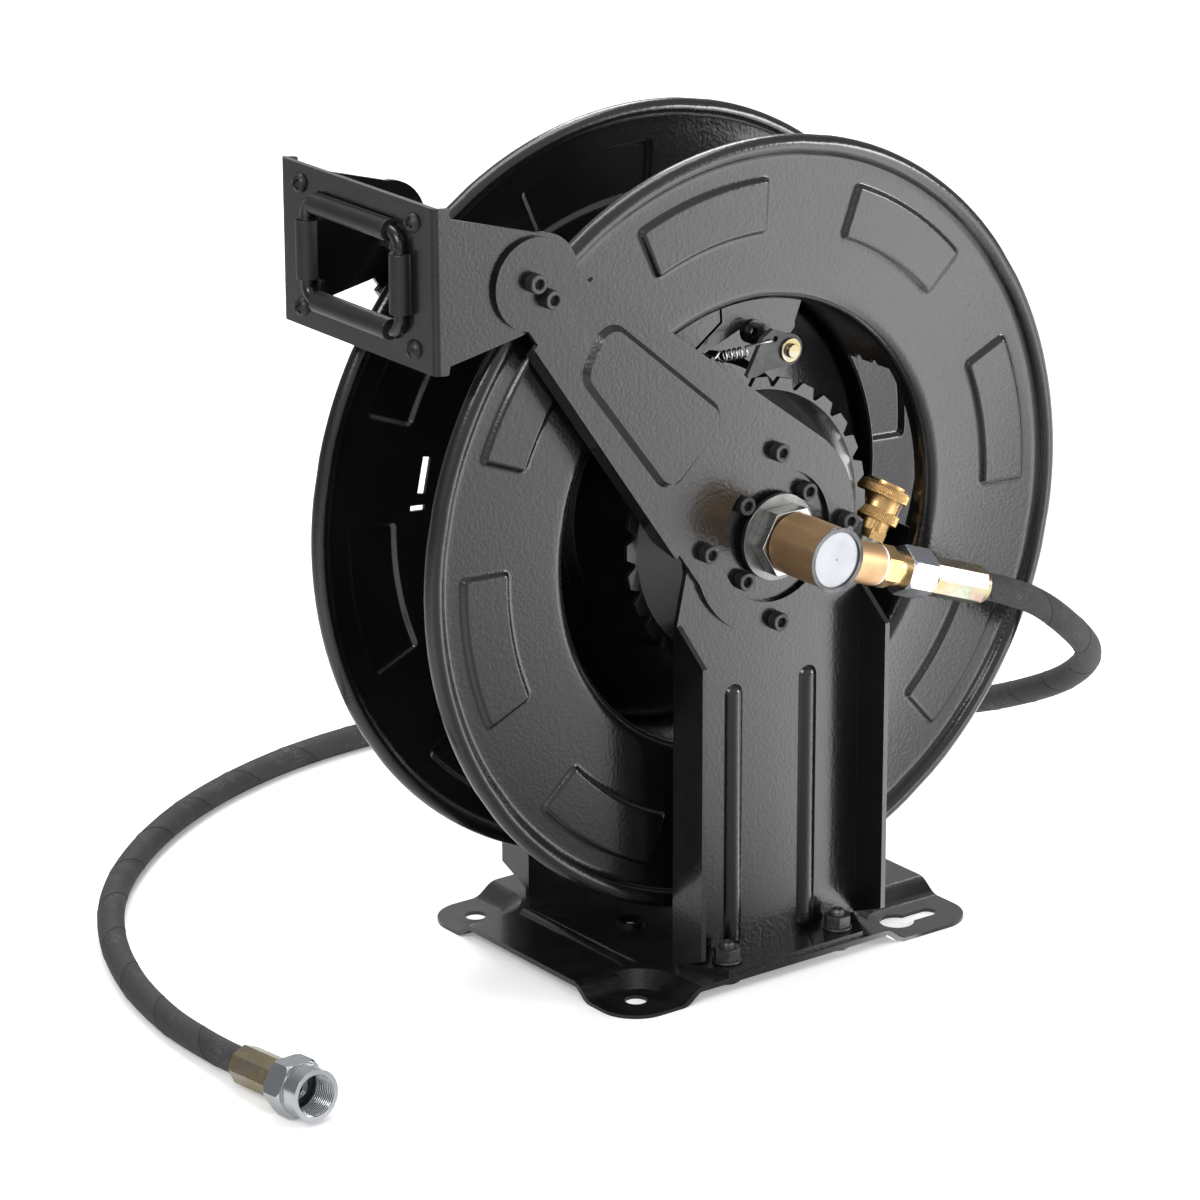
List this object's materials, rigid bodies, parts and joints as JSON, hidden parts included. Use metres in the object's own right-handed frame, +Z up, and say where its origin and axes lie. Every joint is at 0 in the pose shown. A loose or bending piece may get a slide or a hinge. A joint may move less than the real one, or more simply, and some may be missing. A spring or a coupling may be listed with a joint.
{
  "type": "hose reel",
  "caption": "Open steel hose reel with a spring rewind drum, ratchet, roller guide on two arms, brass swivel inlet, inner coupler and a short inlet hose.",
  "frame": {"origin": "middle of the reel's box on the floor, without the hose that lies free", "axes": "+Z up; +Y along the axle from the swivel side to the spring side; the hose guide is towards -X"},
  "size_m": [0.624, 0.4611, 0.451],
  "materials": {
    "powder_coat": "gloss black powder coat",
    "black_oxide": "satin black oxide",
    "roller_plastic": "satin black",
    "steel": "zinc plated",
    "bright_steel": "bright plated",
    "brass": "machined brass",
    "zinc_yellow": "yellow passivated zinc",
    "hose_rubber": "matte wrapped cover",
    "seal_rubber": "smooth",
    "seal_white": "smooth"
  },
  "bodies": {
    "base": {"base_plate": "powder_coat", "front_post": "powder_coat", "rear_post": "powder_coat", "front_arm": "powder_coat", "rear_arm": "powder_coat", "guide_bracket": "powder_coat", "roller_pins": "steel", "guide_screws": "black_oxide", "guide_nuts": "steel", "arm_screws": "black_oxide", "arm_nuts": "steel", "tip_screws": "black_oxide", "tip_nuts": "steel", "hub_screws": "black_oxide", "foot_bolts": "black_oxide", "foot_washers": "black_oxide", "foot_nuts": "black_oxide", "ratchet_wheel": "powder_coat", "bearing_housing": "powder_coat", "front_bearing": "steel", "rear_hub": "powder_coat", "rear_axle": "steel", "rear_axle_nut": "steel", "swivel_body": "brass", "swivel_cap": "bright_steel", "swivel_circlip": "black_oxide", "swivel_seals": "seal_rubber", "port_seal": "seal_white", "inlet_adapter": "brass", "inlet_nut": "bright_steel", "inlet_ferrule": "zinc_yellow", "inlet_hose": "hose_rubber", "end_ferrule": "zinc_yellow", "end_stem": "bright_steel"},
    "drum": {"front_disc": "powder_coat", "rear_disc": "powder_coat", "drum_barrel": "powder_coat", "drum_web": "powder_coat", "drum_shaft": "steel", "shaft_washer": "steel", "shaft_nut": "steel", "spring_case": "powder_coat", "spring_cover": "powder_coat", "power_spring": "steel", "rear_bush": "brass", "outlet_pipe": "steel", "coupler_body": "brass", "pawl_bracket": "powder_coat", "pawl_pin": "bright_steel", "pawl_spring": "steel"},
    "pawl": {"pawl": "black_oxide"},
    "sleeve": {"coupler_sleeve": "brass"},
    "roller_top": {"roller_top": "roller_plastic"},
    "roller_bottom": {"roller_bottom": "roller_plastic"},
    "roller_front": {"roller_front": "roller_plastic"},
    "roller_rear": {"roller_rear": "roller_plastic"},
    "end_nut": {"end_nut": "bright_steel"}
  },
  "joints": [
    {"name": "drum_spin", "type": "hinge", "parent": "base", "child": "drum", "pos_m": [0.0058, 0.014, 0.241], "axis": [0, 1, 0], "continuous": true},
    {"name": "pawl_hinge", "type": "hinge", "parent": "drum", "child": "pawl", "pos_m": [0.0323, -0.0325, 0.3325], "axis": [0, 1, 0], "range_deg": [0, 18], "stiffness_Nm_per_rad": 0.05, "springref_deg": -28.65},
    {"name": "sleeve_slide", "type": "slide", "parent": "drum", "child": "sleeve", "axis": [-0.5, 0, -0.866], "range_m": [0, 0.0045], "stiffness_N_per_m": 1500, "springref_m": -0.003},
    {"name": "roller_top_spin", "type": "hinge", "parent": "base", "child": "roller_top", "pos_m": [-0.2102, 0.014, 0.4328], "axis": [0, 1, 0], "continuous": true},
    {"name": "roller_bottom_spin", "type": "hinge", "parent": "base", "child": "roller_bottom", "pos_m": [-0.2102, 0.014, 0.3818], "axis": [0, 1, 0], "continuous": true},
    {"name": "roller_front_spin", "type": "hinge", "parent": "base", "child": "roller_front", "pos_m": [-0.2102, -0.0275, 0.4073], "axis": [0, 0, 1], "continuous": true},
    {"name": "roller_rear_spin", "type": "hinge", "parent": "base", "child": "roller_rear", "pos_m": [-0.2102, 0.0555, 0.4073], "axis": [0, 0, 1], "continuous": true},
    {"name": "end_nut_spin", "type": "hinge", "parent": "base", "child": "end_nut", "pos_m": [-0.3102, -0.022, 0.0123], "axis": [0.0348, -0.997, 0.0698], "continuous": true}
  ]
}
